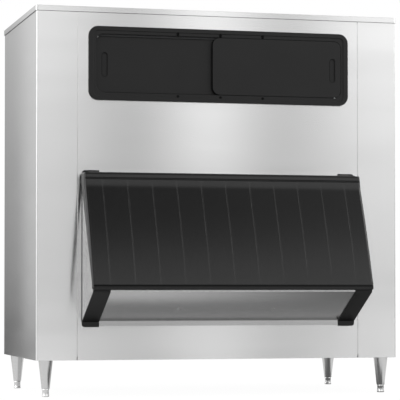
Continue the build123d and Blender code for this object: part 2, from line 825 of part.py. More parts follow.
with BuildPart() as hopper_door:
    extrude(door_outline.sketch, amount=door_half_width, both=True)
    ends = [e for e in hopper_door.edges() if abs(e.center().X) > door_half_width - seat_gap]
    outer_ends = [e for e in ends if e.center().Y < front - hinge_out / 2
                  and front - e.center().Y > out_at(e.center().Z) + door_end_radius]
    fillet(outer_ends, radius=door_end_radius)
    groove((band_start[0] + barrel_groove_sink,
            hinge_z - barrel_groove_drop), barrel_groove_radius)
    groove((bow_end[0] + lip_groove_sink,
            bow_end[1] + lip_groove_radius), lip_groove_radius)
    with BuildSketch(Plane.YZ.offset(-rib_groove_width / 2)) as rib_groove:
        add(door_outline.sketch_local)
        add(door_outline.sketch_local.moved(behind_front(rib_groove_depth)), mode=Mode.SUBTRACT)
        groove_low = bow_end[1] + 2 * lip_groove_radius
        groove_high = hinge_z - barrel_radius - barrel_groove_radius
        with Locations(at(hinge_out + hopper_depth / 2, (groove_low + groove_high) / 2)):
            Rectangle(hopper_depth, groove_high - groove_low, mode=Mode.INTERSECT)
    for number in range(rib_count):
        place = (number - (rib_count - 1) / 2) * rib_pitch
        extrude(rib_groove.sketch.moved(Location((place, 0, 0))), amount=rib_groove_width,
                mode=Mode.SUBTRACT)
    add(door_hollow.part, mode=Mode.SUBTRACT)
    with BuildSketch(Plane.YZ) as bore:
        with Locations((hinge_y, hinge_z)):
            Circle(rod_radius + shaft_gap)
    extrude(bore.sketch, amount=door_half_width - door_end_wall, both=True, mode=Mode.SUBTRACT)
    pocket_reach = arm_half_width + arm_room
    pocket_out = pocket_reach * -arm_rise
    pocket_up = pocket_reach * -arm_run
    pocket_length = arm_length + 2 * cut_over
    pocket_low = (hinge_out + pocket_out - arm_run * pocket_length,
                  hinge_z + pocket_up + arm_rise * pocket_length)
    for side in (-1, 1):
        near = side * (rim_inner - arm_room)
        far = side * (door_half_width - door_end_wall)
        profile([(hinge_out + pocket_out, hinge_z + pocket_up), pocket_low,
                 (-cut_over, pocket_low[1]), (-cut_over, barrel_top + cut_over),
                 (hinge_out + pocket_reach, barrel_top + cut_over),
                 (hinge_out + pocket_reach, hinge_z)], near, far, mode=Mode.SUBTRACT)
        with BuildSketch(Plane.YZ.offset(near)) as hub_room:
            with Locations((hinge_y, hinge_z)):
                Circle(hub_radius + arm_room)
        extrude(hub_room.sketch, amount=far - near, mode=Mode.SUBTRACT)
finish(hopper_door.part, "hopper_door")

with BuildPart() as door_liner:
    with BuildSketch(Plane.YZ) as liner_outline:
        add(door_outline.sketch_local)
        along_inner(door_liner_sheet, 0)
    extrude(liner_outline.sketch, amount=core_half_width, both=True)
finish(door_liner.part, "door_liner")

with BuildPart() as door_core:
    with BuildSketch(Plane.YZ) as core_outline:
        add(door_outline.sketch_local.moved(behind_front(door_wall)))
        along_inner(hopper_depth, door_liner_sheet)
    extrude(core_outline.sketch, amount=core_half_width, both=True)
finish(door_core.part, "door_core")

# Window: a moulded frame with two tracks, and a sliding pane in each
track_depth = 8.5
track_side_depth = 5.0
tongue = 3.0
pane_sheet = 9.0
pane_room = 6.0
pane_tongue_inset = 4.0
front_pane_out = 6.0
rear_pane_out = front_pane_out - pane_sheet - pane_room
pane_overlap = 66.0
pane_height = opening_height - 2 * pane_side_gap
pane_width = opening_width / 2 - pane_side_gap + pane_overlap / 2
rail_fin_drop = 9.0
rail_fin_sheet = 3.0
pull_height = 97.0
pull_width = 22.0
pull_depth = 4.0
pull_inset = 36.0
pull_drop = 4.5
frame_screw_spacing = 180.0
frame_screw_radius = 4.0
frame_screw_head = 2.0
frame_screw_margin = 0.5


def face_plane(out):
    """An upright plane ahead of the cabinet's front, facing forwards."""
    return Plane.XZ.offset(-front + out)


def rounded_panel(out, width, height, radius, depth, place=0.0, mode=Mode.ADD):
    """A rounded upright plate whose front face stands ahead of the cabinet's front."""
    with BuildSketch(face_plane(out)) as outline:
        with Locations((place, window_middle)):
            RectangleRounded(width, height, radius)
    extrude(outline.sketch, amount=-depth, mode=mode)


def track(out):
    """The groove all round the opening in which a pane's tongue runs."""
    tongue_front = out - pane_tongue_inset
    block((-opening_width / 2 - track_side_depth, front - tongue_front - slide_gap,
           window_middle - opening_height / 2 - track_depth),
          (opening_width / 2 + track_side_depth, front - tongue_front + tongue + slide_gap,
           window_middle + opening_height / 2 + track_depth), mode=Mode.SUBTRACT)


with BuildPart() as window_frame:
    rounded_panel(frame_proud, window_width, window_height, frame_radius, frame_proud)
    front_edges = window_frame.edges().group_by(Axis.Y)[0]
    chamfer(front_edges, length=frame_step / 2)
    rounded_panel(frame_proud + cut_over, window_width - 2 * frame_border_side,
                  window_height - 2 * frame_border_rail, frame_radius - frame_border_side,
                  frame_step + cut_over, mode=Mode.SUBTRACT)
    with BuildSketch(face_plane(0)) as frame_body:
        with Locations((0, window_middle)):
            Rectangle(body_width, body_height)
    extrude(frame_body.sketch, amount=-frame_body_depth)
    rounded_panel(frame_proud + cut_over, opening_width, opening_height,
                  pane_radius + pane_side_gap, frame_proud + frame_body_depth + 2 * cut_over,
                  mode=Mode.SUBTRACT)
    # a fin under the upper rail, between the two panes
    fin_front = front - rear_pane_out - (pane_room + rail_fin_sheet) / 2
    block((-opening_width / 2, fin_front, window_middle + opening_height / 2 - rail_fin_drop),
          (opening_width / 2, fin_front + rail_fin_sheet,
           window_middle + opening_height / 2 + track_depth))
    track(front_pane_out)
    track(rear_pane_out)
finish(window_frame.part, "window_frame")


def pane(name, out, side):
    """A sliding pane: a rounded plate with running tongues and a recessed finger pull."""
    low_end = side * (opening_width / 2 - pane_side_gap)
    centre = low_end - side * pane_width / 2
    with BuildPart() as plate:
        rounded_panel(out, pane_width, pane_height, pane_radius, pane_sheet, place=centre)
        tongue_front = front - out + pane_tongue_inset
        reach = opening_height / 2 + track_depth - slide_gap
        block((centre - pane_width / 2 + pane_radius, tongue_front, window_middle - reach),
              (centre + pane_width / 2 - pane_radius, tongue_front + tongue,
               window_middle + reach))
        with BuildSketch(face_plane(out)) as pull:
            with Locations((low_end - side * pull_inset, window_middle - pull_drop)):
                SlotOverall(pull_height, pull_width, rotation=90)
        extrude(pull.sketch, amount=-pull_depth, mode=Mode.SUBTRACT)
    finish(plate.part, name)


pane("left_window", rear_pane_out, -1)
pane("right_window", front_pane_out, 1)

with BuildPart() as window_screws:
    rail_offset = window_height / 2 - frame_border_rail - frame_screw_radius - frame_screw_margin
    with BuildSketch(face_plane(frame_proud - frame_step)) as heads:
        with Locations((0, window_middle)):
            with GridLocations(frame_screw_spacing, 2 * rail_offset, 3, 2):
                RegularPolygon(frame_screw_radius, 6)
    extrude(heads.sketch, amount=frame_screw_head)
finish(window_screws.part, "window_screws")
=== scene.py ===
import bpy
import json
import math
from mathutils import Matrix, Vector


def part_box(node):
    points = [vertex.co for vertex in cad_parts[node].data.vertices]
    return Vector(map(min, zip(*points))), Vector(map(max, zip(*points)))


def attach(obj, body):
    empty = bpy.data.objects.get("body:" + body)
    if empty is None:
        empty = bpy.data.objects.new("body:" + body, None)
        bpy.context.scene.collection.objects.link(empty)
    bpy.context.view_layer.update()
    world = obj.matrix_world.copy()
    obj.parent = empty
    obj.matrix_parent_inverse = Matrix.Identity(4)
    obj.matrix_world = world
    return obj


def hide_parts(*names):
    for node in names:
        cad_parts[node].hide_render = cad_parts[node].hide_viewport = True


# An upright stainless ice storage bin: finishes for its sheet metal and mouldings, its small
# fasteners and edges, and a pale studio around it. Metres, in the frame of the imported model.

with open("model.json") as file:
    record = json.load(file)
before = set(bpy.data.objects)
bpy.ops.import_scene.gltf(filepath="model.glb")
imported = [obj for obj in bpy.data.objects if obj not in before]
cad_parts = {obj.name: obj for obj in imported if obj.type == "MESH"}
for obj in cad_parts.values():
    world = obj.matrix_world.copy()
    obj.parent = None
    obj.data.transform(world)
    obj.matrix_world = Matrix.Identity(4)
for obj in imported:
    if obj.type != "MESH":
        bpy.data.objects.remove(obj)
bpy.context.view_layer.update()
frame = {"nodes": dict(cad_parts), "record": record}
nodes = frame["nodes"]
bpy.ops.object.select_all(action="DESELECT")

# Finishes

SHEET_EDGE, ZINC_EDGE, MOULDED_EDGE = 0.0012, 0.001, 0.0018


def new_finish(name):
    """A node material with its output, shader and Object coordinates."""
    material = bpy.data.materials.new(name)
    material.use_nodes = True
    tree = material.node_tree
    shader = tree.nodes["Principled BSDF"]
    place = tree.nodes.new("ShaderNodeTexCoord")
    return material, tree, shader, place.outputs["Object"]


def stretched_noise(tree, place, stretch, scale, detail=4.0, rough=0.6):
    """Noise drawn out along some axes: stretch is how dense it is along X, Y and Z."""
    mapping = tree.nodes.new("ShaderNodeMapping")
    mapping.inputs["Scale"].default_value = stretch
    tree.links.new(place, mapping.inputs["Vector"])
    noise = tree.nodes.new("ShaderNodeTexNoise")
    noise.inputs["Scale"].default_value = scale
    noise.inputs["Detail"].default_value = detail
    noise.inputs["Roughness"].default_value = rough
    tree.links.new(mapping.outputs["Vector"], noise.inputs["Vector"])
    return noise.outputs["Fac"]


def ranged(tree, value, low, high, start=0.3, end=0.7):
    """A value mapped from its middle spread to a range."""
    node = tree.nodes.new("ShaderNodeMapRange")
    node.inputs["From Min"].default_value = start
    node.inputs["From Max"].default_value = end
    node.inputs["To Min"].default_value = low
    node.inputs["To Max"].default_value = high
    tree.links.new(value, node.inputs["Value"])
    return node.outputs["Result"]


def tinted(tree, value, dark, light):
    """A colour between two, picked by a value."""
    mix = tree.nodes.new("ShaderNodeMix")
    mix.data_type = "RGBA"
    mix.inputs["A"].default_value = (*dark, 1)
    mix.inputs["B"].default_value = (*light, 1)
    tree.links.new(value, mix.inputs["Factor"])
    return mix.outputs["Result"]


def bumped(tree, shader, height, strength, distance, under=None):
    """Give the shader a bump, over another one if there is one."""
    bump = tree.nodes.new("ShaderNodeBump")
    bump.inputs["Strength"].default_value = strength
    bump.inputs["Distance"].default_value = distance
    tree.links.new(height, bump.inputs["Height"])
    if under is not None:
        tree.links.new(under, bump.inputs["Normal"])
    tree.links.new(bump.outputs["Normal"], shader.inputs["Normal"])


def softened_edges(tree, radius):
    """Normals that round the sharp edges of folded sheet."""
    bevel = tree.nodes.new("ShaderNodeBevel")
    bevel.samples = 6
    bevel.inputs["Radius"].default_value = radius
    return bevel.outputs["Normal"]


def brushed_steel(name, tone, rough, streak, drawn_out=1.0):
    """Stainless sheet with its grain running level."""
    material, tree, shader, place = new_finish(name)
    fine = stretched_noise(tree, place, (3.0, 3.0, 1400.0), 1.0, 3.0, 0.55)
    broad = stretched_noise(tree, place, (0.9, 0.9, 9.0), 1.0, 2.0, 0.5)
    dark = tuple(t * (1 - streak) for t in tone)
    light = tuple(min(1.0, t * (1 + streak)) for t in tone)
    tree.links.new(tinted(tree, ranged(tree, fine, 0, 1), dark, light),
                   shader.inputs["Base Color"])
    tree.links.new(ranged(tree, broad, rough * 0.88, rough * 1.12), shader.inputs["Roughness"])
    shader.inputs["Metallic"].default_value = 1.0
    shader.inputs["Anisotropic"].default_value = drawn_out
    shader.inputs["Anisotropic Rotation"].default_value = 0.25
    # the grain runs level round the upright faces, and across on the level ones
    face = tree.nodes.new("ShaderNodeNewGeometry")
    level = tree.nodes.new("ShaderNodeVectorMath")
    level.operation = "CROSS_PRODUCT"
    level.inputs[0].default_value = (0, 0, 1)
    tree.links.new(face.outputs["Normal"], level.inputs[1])
    along = tree.nodes.new("ShaderNodeVectorMath")
    along.inputs[1].default_value = (0.02, 0, 0)
    tree.links.new(level.outputs["Vector"], along.inputs[0])
    tree.links.new(along.outputs["Vector"], shader.inputs["Tangent"])
    tree.links.new(softened_edges(tree, SHEET_EDGE), shader.inputs["Normal"])
    return material


def polished_steel(name, tone, rough):
    """Turned or drawn steel with faint rings."""
    material, tree, shader, place = new_finish(name)
    rings = stretched_noise(tree, place, (4.0, 4.0, 900.0), 1.0, 2.0, 0.5)
    dark = tuple(t * 0.93 for t in tone)
    tree.links.new(tinted(tree, ranged(tree, rings, 0, 1), dark, tone),
                   shader.inputs["Base Color"])
    tree.links.new(ranged(tree, rings, rough * 0.85, rough * 1.15), shader.inputs["Roughness"])
    shader.inputs["Metallic"].default_value = 1.0
    bumped(tree, shader, rings, 0.04, 0.0001)
    return material


def zinc_sheet(name):
    """Galvanised sheet with its broad crystal spangle."""
    material, tree, shader, place = new_finish(name)
    cells = tree.nodes.new("ShaderNodeTexVoronoi")
    cells.inputs["Scale"].default_value = 70.0
    tree.links.new(place, cells.inputs["Vector"])
    cloud = stretched_noise(tree, place, (1, 1, 1), 9.0, 3.0, 0.5)
    shade = tree.nodes.new("ShaderNodeMix")
    shade.data_type = "RGBA"
    shade.inputs["Factor"].default_value = 0.12
    tree.links.new(tinted(tree, ranged(tree, cloud, 0, 1), (0.50, 0.52, 0.53), (0.60, 0.61, 0.62)),
                   shade.inputs["A"])
    tree.links.new(cells.outputs["Color"], shade.inputs["B"])
    grey = tree.nodes.new("ShaderNodeHueSaturation")
    grey.inputs["Saturation"].default_value = 0.05
    tree.links.new(shade.outputs["Result"], grey.inputs["Color"])
    tree.links.new(grey.outputs["Color"], shader.inputs["Base Color"])
    shader.inputs["Metallic"].default_value = 0.85
    tree.links.new(ranged(tree, cells.outputs["Distance"], 0.34, 0.5, 0, 1),
                   shader.inputs["Roughness"])
    bumped(tree, shader, cloud, 0.1, 0.0003, softened_edges(tree, ZINC_EDGE))
    return material


def moulded_plastic(name, tone, rough, grain_size=900.0, grain=0.12, mottle=0.12, specular=0.5):
    """Moulded plastic with a fine leathery grain and a slight mottle."""
    material, tree, shader, place = new_finish(name)
    cloud = stretched_noise(tree, place, (1, 1, 1), 7.0, 4.0, 0.6)
    dark = tuple(t * (1 - mottle) for t in tone)
    light = tuple(min(1.0, t * (1 + mottle)) for t in tone)
    tree.links.new(tinted(tree, ranged(tree, cloud, 0, 1), dark, light),
                   shader.inputs["Base Color"])
    pores = stretched_noise(tree, place, (1, 1, 1), grain_size, 2.0, 0.5)
    tree.links.new(ranged(tree, pores, rough * 0.9, rough * 1.1), shader.inputs["Roughness"])
    shader.inputs["Specular IOR Level"].default_value = specular
    bumped(tree, shader, pores, grain, 0.0002, softened_edges(tree, MOULDED_EDGE))
    return material


def foam(name, tone, scale, depth):
    """Open or closed cell foam."""
    material, tree, shader, place = new_finish(name)
    cells = tree.nodes.new("ShaderNodeTexVoronoi")
    cells.inputs["Scale"].default_value = scale
    tree.links.new(place, cells.inputs["Vector"])
    dark = tuple(t * 0.78 for t in tone)
    tree.links.new(tinted(tree, ranged(tree, cells.outputs["Distance"], 0, 1, 0, 0.8), dark, tone),
                   shader.inputs["Base Color"])
    shader.inputs["Roughness"].default_value = 0.9
    bumped(tree, shader, cells.outputs["Distance"], 0.35, depth)
    return material


finishes = {
    "stainless": brushed_steel("stainless_sheet", (0.84, 0.84, 0.84), 0.20, 0.02),
    "galvanised_sheet": zinc_sheet("galvanised_sheet"),
    "leg_steel": polished_steel("leg_steel", (0.74, 0.74, 0.74), 0.18),
    "foot_steel": polished_steel("foot_steel", (0.78, 0.78, 0.78), 0.24),
    "rod_steel": polished_steel("rod_steel", (0.62, 0.62, 0.63), 0.2),
    "fastener_steel": polished_steel("fastener_steel", (0.55, 0.55, 0.55), 0.3),
    "fastener_dark": moulded_plastic("fastener_dark", (0.003, 0.003, 0.003), 0.6,
                                     specular=0.12),
    "black_moulding": moulded_plastic("black_moulding", (0.006, 0.006, 0.006), 0.42,
                                      specular=0.35),
    "door_black": moulded_plastic("door_black", (0.006, 0.006, 0.006), 0.20, specular=0.38),
    "door_liner_black": moulded_plastic("door_liner_black", (0.03, 0.03, 0.032), 0.5),
    "pane_black": moulded_plastic("pane_black", (0.007, 0.007, 0.007), 0.45, specular=0.35),
    "liner_white": moulded_plastic("liner_white", (0.80, 0.82, 0.82), 0.35, 300.0, 0.05, 0.02),
    "gate_plastic": moulded_plastic("gate_plastic", (0.74, 0.77, 0.78), 0.28, 300.0, 0.04, 0.02),
    "drain_plastic": moulded_plastic("drain_plastic", (0.7, 0.71, 0.71), 0.35),
    "insulation_foam": foam("insulation_foam", (0.80, 0.70, 0.42), 500.0, 0.0006),
    "gasket_foam": foam("gasket_foam", (0.045, 0.045, 0.046), 900.0, 0.0003),
}
slot_of = {row["node"]: row["material_slot"] for row in frame["record"]["subparts"]}
for name, node in nodes.items():
    node.data.materials.clear()
    node.data.materials.append(finishes[slot_of[name]])
# the hopper's bottom mirrors sharply both ways, so its grain is hardly drawn out
nodes["hopper_bottom"].data.materials[0] = brushed_steel("folded_stainless", (0.84, 0.84, 0.84),
                                                         0.20, 0.02, drawn_out=0.1)

# Modelled pieces

def deselect_all():
    """Leave edit mode and select nothing."""
    if bpy.context.object and bpy.context.object.mode != "OBJECT":
        bpy.ops.object.mode_set(mode="OBJECT")
    bpy.ops.object.select_all(action="DESELECT")


def begin_edit():
    """Edit the active piece with all of it selected."""
    bpy.ops.object.mode_set(mode="EDIT")
    bpy.ops.mesh.select_all(action="SELECT")


def close_up(piece, smooth_angle=35.0):
    """Join doubled points, turn the faces outwards, smooth them and put the place in the mesh."""
    begin_edit()
    bpy.ops.mesh.remove_doubles(threshold=0.00001)
    bpy.ops.mesh.select_all(action="SELECT")
    bpy.ops.mesh.normals_make_consistent(inside=False)
    bpy.ops.object.mode_set(mode="OBJECT")
    bpy.ops.object.shade_smooth_by_angle(angle=math.radians(smooth_angle))
    bpy.ops.object.transform_apply(location=True, rotation=True, scale=True)
    return piece


def turned(name, place, profile, sides=64):
    """A solid turned about an upright axis through the place, from (radius, height) steps."""
    x, y = place
    radius, height = profile[0]
    deselect_all()
    bpy.ops.mesh.primitive_circle_add(vertices=sides, radius=radius, fill_type="NGON",
                                      location=(x, y, height))
    piece = bpy.context.object
    piece.name = name
    begin_edit()
    for next_radius, next_height in profile[1:]:
        bpy.ops.mesh.extrude_region_move(
            TRANSFORM_OT_translate={"value": (0, 0, next_height - height)})
        share = next_radius / radius
        bpy.ops.transform.resize(value=(share, share, 1), center_override=(x, y, next_height))
        radius, height = next_radius, next_height
    bpy.ops.object.mode_set(mode="OBJECT")
    return close_up(piece)


def dress(piece, slot, body, *replaced):
    """Give a piece its finish, the body that it rides on and the nodes that it stands for."""
    piece.data.materials.clear()
    piece.data.materials.append(finishes[slot])
    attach(piece, body)
    if replaced:
        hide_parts(*replaced)


def copied(piece, name, move):
    """A copy with its own mesh, moved."""
    twin = piece.copy()
    twin.data = piece.data.copy()
    twin.name = name
    bpy.context.scene.collection.objects.link(twin)
    deselect_all()
    twin.select_set(True)
    bpy.context.view_layer.objects.active = twin
    twin.location = move
    bpy.ops.object.transform_apply(location=True, rotation=False, scale=False)
    return twin


def joined(pieces, name):
    """Several shapes made one piece."""
    deselect_all()
    for piece in pieces:
        piece.select_set(True)
    bpy.context.view_layer.objects.active = pieces[0]
    bpy.ops.object.join()
    pieces[0].name = name
    return pieces[0]


# Legs: drawn steel cones with a rolled lower edge, over turned feet that flare at the floor

LEG_PLACES = {"front_left": (-0.713, -0.23425), "front_right": (0.713, -0.23425),
              "back_left": (-0.713, 0.46075), "back_right": (0.713, 0.46075)}
LEG_PROFILE = [(0.0150, 0.0345), (0.0155, 0.0330), (0.0162, 0.0325), (0.0167, 0.0332),
               (0.0168, 0.0348), (0.0172, 0.0390), (0.0312, 0.1650)]
FOOT_PROFILE = [(0.0128, 0.0), (0.0142, 0.0008), (0.0146, 0.0022), (0.0145, 0.0046),
                (0.0136, 0.0078), (0.0134, 0.0262), (0.0138, 0.0272), (0.0146, 0.0276),
                (0.0146, 0.0308), (0.0140, 0.0318), (0.0110, 0.0320), (0.0110, 0.0940)]

first_leg = turned("leg_front_left", LEG_PLACES["front_left"], LEG_PROFILE, 96)
first_foot = turned("turned_foot_front_left", LEG_PLACES["front_left"], FOOT_PROFILE, 72)
cones = [first_leg]
for corner, place in LEG_PLACES.items():
    move = (place[0] - LEG_PLACES["front_left"][0], place[1] - LEG_PLACES["front_left"][1], 0)
    foot = first_foot
    if corner != "front_left":
        cones.append(copied(first_leg, "leg_" + corner, move))
        foot = copied(first_foot, "turned_foot_" + corner, move)
    dress(foot, "foot_steel", "foot_" + corner, "foot_" + corner)
dress(joined(cones, "drawn_legs"), "leg_steel", "cabinet", "legs")

# Small fasteners, sealant and the foam gasket

def choose(piece, kind, wanted):
    """Select the wanted points or faces of the piece that is being edited."""
    bpy.ops.mesh.select_mode(type=kind)
    bpy.ops.mesh.select_all(action="DESELECT")
    bpy.ops.object.mode_set(mode="OBJECT")
    for part in piece.data.vertices if kind == "VERT" else piece.data.polygons:
        part.select = wanted(part)
    bpy.ops.object.mode_set(mode="EDIT")


def pull_apart(piece, reach):
    """Move the points above the piece's middle up and those below it down."""
    for side in (1, -1):
        choose(piece, "VERT", lambda point: point.co.z * side > 0.00001)
        bpy.ops.transform.translate(value=(0, 0, side * reach))
    bpy.ops.mesh.select_mode(type="FACE")
    bpy.ops.mesh.select_all(action="SELECT")


def moved_faces(direction, reach):
    """Extrude what is selected along a direction."""
    bpy.ops.mesh.extrude_region_move(
        TRANSFORM_OT_translate={"value": tuple(c * reach for c in direction)})


# a screw head's side, rim, crown, socket rim and socket depth, and a bolt's washer and head, as
# shares of the head's radius or height
SCREW_SIDE, SCREW_RIM, SCREW_CROWN, SOCKET_RIM, SOCKET_DEPTH = 0.6, 0.9, 0.72, 0.22, 0.7
WASHER_SPREAD, WASHER_HEIGHT, BOLT_SIDE, BOLT_CROWN = 1.25, 0.25, 0.85, 0.86


def socket_screw(name, place, radius, height, stretch=0.0):
    """A low dark screw head facing the front, with a round socket; stretch draws it out
    upwards and downwards."""
    deselect_all()
    bpy.ops.mesh.primitive_circle_add(vertices=24, radius=radius, fill_type="NGON",
                                      location=place, rotation=(math.pi / 2, 0, 0))
    screw = bpy.context.object
    screw.name = name
    bpy.ops.object.transform_apply(location=False, rotation=True, scale=False)
    begin_edit()
    if stretch:
        pull_apart(screw, stretch)
    moved_faces((0, -1, 0), height * SCREW_SIDE)
    bpy.ops.transform.resize(value=(SCREW_RIM, 1, SCREW_RIM), center_override=place)
    moved_faces((0, -1, 0), height * (1 - SCREW_SIDE))
    bpy.ops.transform.resize(value=(SCREW_CROWN, 1, SCREW_CROWN), center_override=place)
    bpy.ops.mesh.inset(thickness=radius * SOCKET_RIM, depth=0)
    moved_faces((0, 1, 0), height * SOCKET_DEPTH)
    bpy.ops.object.mode_set(mode="OBJECT")
    return close_up(screw)


def hexagon_bolt(name, place, radius, height, facing):
    """A hexagon head on a round washer, its rim eased; facing is its outward direction."""
    turn = Vector(facing).to_track_quat("Z", "Y").to_euler()
    deselect_all()
    bpy.ops.mesh.primitive_circle_add(vertices=24, radius=radius * WASHER_SPREAD,
                                      fill_type="NGON", location=place, rotation=turn)
    washer = bpy.context.object
    begin_edit()
    moved_faces(facing, height * WASHER_HEIGHT)
    close_up(washer)
    deselect_all()
    bpy.ops.mesh.primitive_circle_add(vertices=6, radius=radius, fill_type="NGON",
                                      location=place, rotation=turn)
    head = bpy.context.object
    begin_edit()
    moved_faces(facing, height * BOLT_SIDE)
    moved_faces(facing, height * (1 - BOLT_SIDE))
    crown = tuple(1 if c else BOLT_CROWN for c in facing)
    bpy.ops.transform.resize(value=crown, center_override=place)
    close_up(head)
    return joined([washer, head], name)


def ring_round(name, low, high, width, height, edge):
    """A level band round a plan from low to high, mitred at its corners, its edges eased."""
    deselect_all()
    middle = [(a + b) / 2 for a, b in zip(low, high)]
    bpy.ops.mesh.primitive_plane_add(size=1.0, location=(middle[0], middle[1], low[2]))
    band = bpy.context.object
    band.name = name
    band.scale = (high[0] - low[0], high[1] - low[1], 1)
    bpy.ops.object.transform_apply(location=False, rotation=False, scale=True)
    begin_edit()
    bpy.ops.mesh.inset(thickness=width, depth=0)
    bpy.ops.mesh.delete(type="FACE")
    bpy.ops.mesh.select_all(action="SELECT")
    moved_faces((0, 0, 1), height)
    bpy.ops.mesh.select_all(action="SELECT")
    bpy.ops.mesh.remove_doubles(threshold=0.00001)
    bpy.ops.mesh.normals_make_consistent(inside=False)
    bpy.ops.object.mode_set(mode="OBJECT")
    bevel = band.modifiers.new("eased", "BEVEL")
    bevel.width = edge
    bevel.segments = 4
    bevel.limit_method = "ANGLE"
    bpy.ops.object.modifier_apply(modifier=bevel.name)
    return close_up(band)


def upright_bead(name, low, high, edge):
    """A bar of seal or sealant between two corners, its edges eased."""
    deselect_all()
    middle = tuple((a + b) / 2 for a, b in zip(low, high))
    bpy.ops.mesh.primitive_cube_add(size=1.0, location=middle)
    bead = bpy.context.object
    bead.name = name
    bead.scale = tuple(b - a for a, b in zip(low, high))
    bpy.ops.object.transform_apply(location=False, rotation=False, scale=True)
    begin_edit()
    bpy.ops.mesh.bevel(offset=edge, segments=3, affect="EDGES")
    return close_up(bead)


SCREW_COLUMNS = -0.180, 0.0, 0.180
SCREW_RADIUS = 0.0057
SCREW_MARGIN = 0.0040
UPPER_HEAD, UPPER_STRETCH, LOWER_HEAD = 0.0034, 0.0036, 0.0022
screw_low, screw_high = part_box("window_screws")
window_middle = (screw_low[2] + screw_high[2]) / 2
rail_rise = (screw_high[2] - screw_low[2]) / 2 - SCREW_MARGIN
heads = []
for across in SCREW_COLUMNS:
    upper_place = (across, screw_high[1], window_middle + rail_rise)
    lower_place = (across, screw_high[1], window_middle - rail_rise)
    heads.append(socket_screw("upper_window_screw", upper_place, SCREW_RADIUS, UPPER_HEAD,
                              UPPER_STRETCH))
    heads.append(socket_screw("lower_window_screw", lower_place, SCREW_RADIUS, LOWER_HEAD))
dress(joined(heads, "window_frame_screws"), "fastener_dark", "cabinet", "window_screws")

BOLT_CIRCLE = 0.0400
BOLT_RADIUS = BOLT_HEIGHT = 0.0040
bolt_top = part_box("leg_bolts")[1][2]
bolt_reach = BOLT_CIRCLE / math.sqrt(2)
bolts = []
for x, y in LEG_PLACES.values():
    for side in (-1, 1):
        for end in (-1, 1):
            bolt_place = (x + side * bolt_reach, y + end * bolt_reach, bolt_top)
            bolts.append(hexagon_bolt("leg_bolt", bolt_place, BOLT_RADIUS, BOLT_HEIGHT, (0, 0, -1)))
dress(joined(bolts, "leg_plate_bolts"), "fastener_steel", "cabinet", "leg_bolts")

GASKET_WIDTH, GASKET_EDGE = 0.025, 0.0008
deck_low, deck_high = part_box("drop_gasket")
gasket = ring_round("foam_gasket", deck_low, deck_high, GASKET_WIDTH, deck_high[2] - deck_low[2],
                    GASKET_EDGE)
dress(gasket, "gasket_foam", "cabinet", "drop_gasket")

# Window: a pile seal under the upper rail and a seal round the right pane's inner end, both dark
# so that they also stand in for painted shade in the track and beside the pane's end, and a rim
# round each finger pull

# a pile seal whose dark colour also paints the shade in the upper track's groove
RAIL_SEAL = (-0.5180, -0.28445, 1.4543), (0.5180, -0.28375, 1.4627)
RAIL_SEAL_EDGE = 0.0003
rail_seal = upright_bead("pile_seal_and_track_shade", *RAIL_SEAL, RAIL_SEAL_EDGE)
dress(rail_seal, "gasket_foam", "cabinet")


def upright_plate(name, low, high, out):
    """A flat upright sheet facing the front, between two (across, up) corners."""
    deselect_all()
    bpy.ops.mesh.primitive_plane_add(size=1.0, rotation=(math.pi / 2, 0, 0),
                                     location=((low[0] + high[0]) / 2, out,
                                               (low[1] + high[1]) / 2))
    plate = bpy.context.object
    plate.name = name
    plate.scale = (high[0] - low[0], high[1] - low[1], 1)
    bpy.ops.object.transform_apply(location=False, rotation=True, scale=True)
    return plate


PANE_LOW, PANE_HIGH = (-0.0330, 1.2280), (0.5180, 1.4610)
PANE_CORNER = 0.030
PANE_SEAL, PANE_SEAL_FRONT, PANE_SEAL_DEPTH = 0.0014, -0.2936, 0.0093
PANE_SEAL_END = -0.0035
# a seal round the right pane's inner end, dark so that it also paints the shade beside the pane's
# edge
end_seal = upright_plate("pane_seal_and_painted_shade", [c - PANE_SEAL for c in PANE_LOW],
                         [c + PANE_SEAL for c in PANE_HIGH], PANE_SEAL_FRONT)
begin_edit()
bpy.ops.mesh.bevel(offset=PANE_CORNER + PANE_SEAL, segments=10, affect="VERTICES")
bpy.ops.mesh.select_all(action="SELECT")
bpy.ops.mesh.inset(thickness=PANE_SEAL, depth=0)
bpy.ops.mesh.delete(type="FACE")
bpy.ops.mesh.select_all(action="SELECT")
bpy.ops.mesh.bisect(plane_co=(PANE_SEAL_END, 0, 0), plane_no=(1, 0, 0), clear_outer=True)
bpy.ops.mesh.select_all(action="SELECT")
moved_faces((0, 1, 0), PANE_SEAL_DEPTH)
bpy.ops.object.mode_set(mode="OBJECT")
dress(close_up(end_seal), "fastener_dark", "right_window")

PULL_ACROSS, PULL_UP = 0.4820, 1.3400
PULL_RADIUS, PULL_REACH = 0.0122, 0.0375
LEFT_PANE_FACE, RIGHT_PANE_FACE = -0.27925, -0.29425
RIM_WIDTH, RIM_RISE = 0.0013, 0.0005


def pull_rim(name, across, out, window):
    """A thin raised line round a finger pull."""
    deselect_all()
    bpy.ops.mesh.primitive_circle_add(vertices=40, radius=PULL_RADIUS, fill_type="NGON",
                                      location=(across, out, PULL_UP),
                                      rotation=(math.pi / 2, 0, 0))
    rim = bpy.context.object
    rim.name = name
    bpy.ops.object.transform_apply(location=False, rotation=True, scale=False)
    begin_edit()
    pull_apart(rim, PULL_REACH)
    bpy.ops.mesh.inset(thickness=RIM_WIDTH, depth=0)
    bpy.ops.mesh.delete(type="FACE")
    bpy.ops.mesh.select_all(action="SELECT")
    moved_faces((0, -1, 0), RIM_RISE)
    bpy.ops.object.mode_set(mode="OBJECT")
    dress(close_up(rim), "fastener_dark", window)


pull_rim("left_pull_rim", -PULL_ACROSS, LEFT_PANE_FACE, "left_window")
pull_rim("right_pull_rim", PULL_ACROSS, RIGHT_PANE_FACE, "right_window")
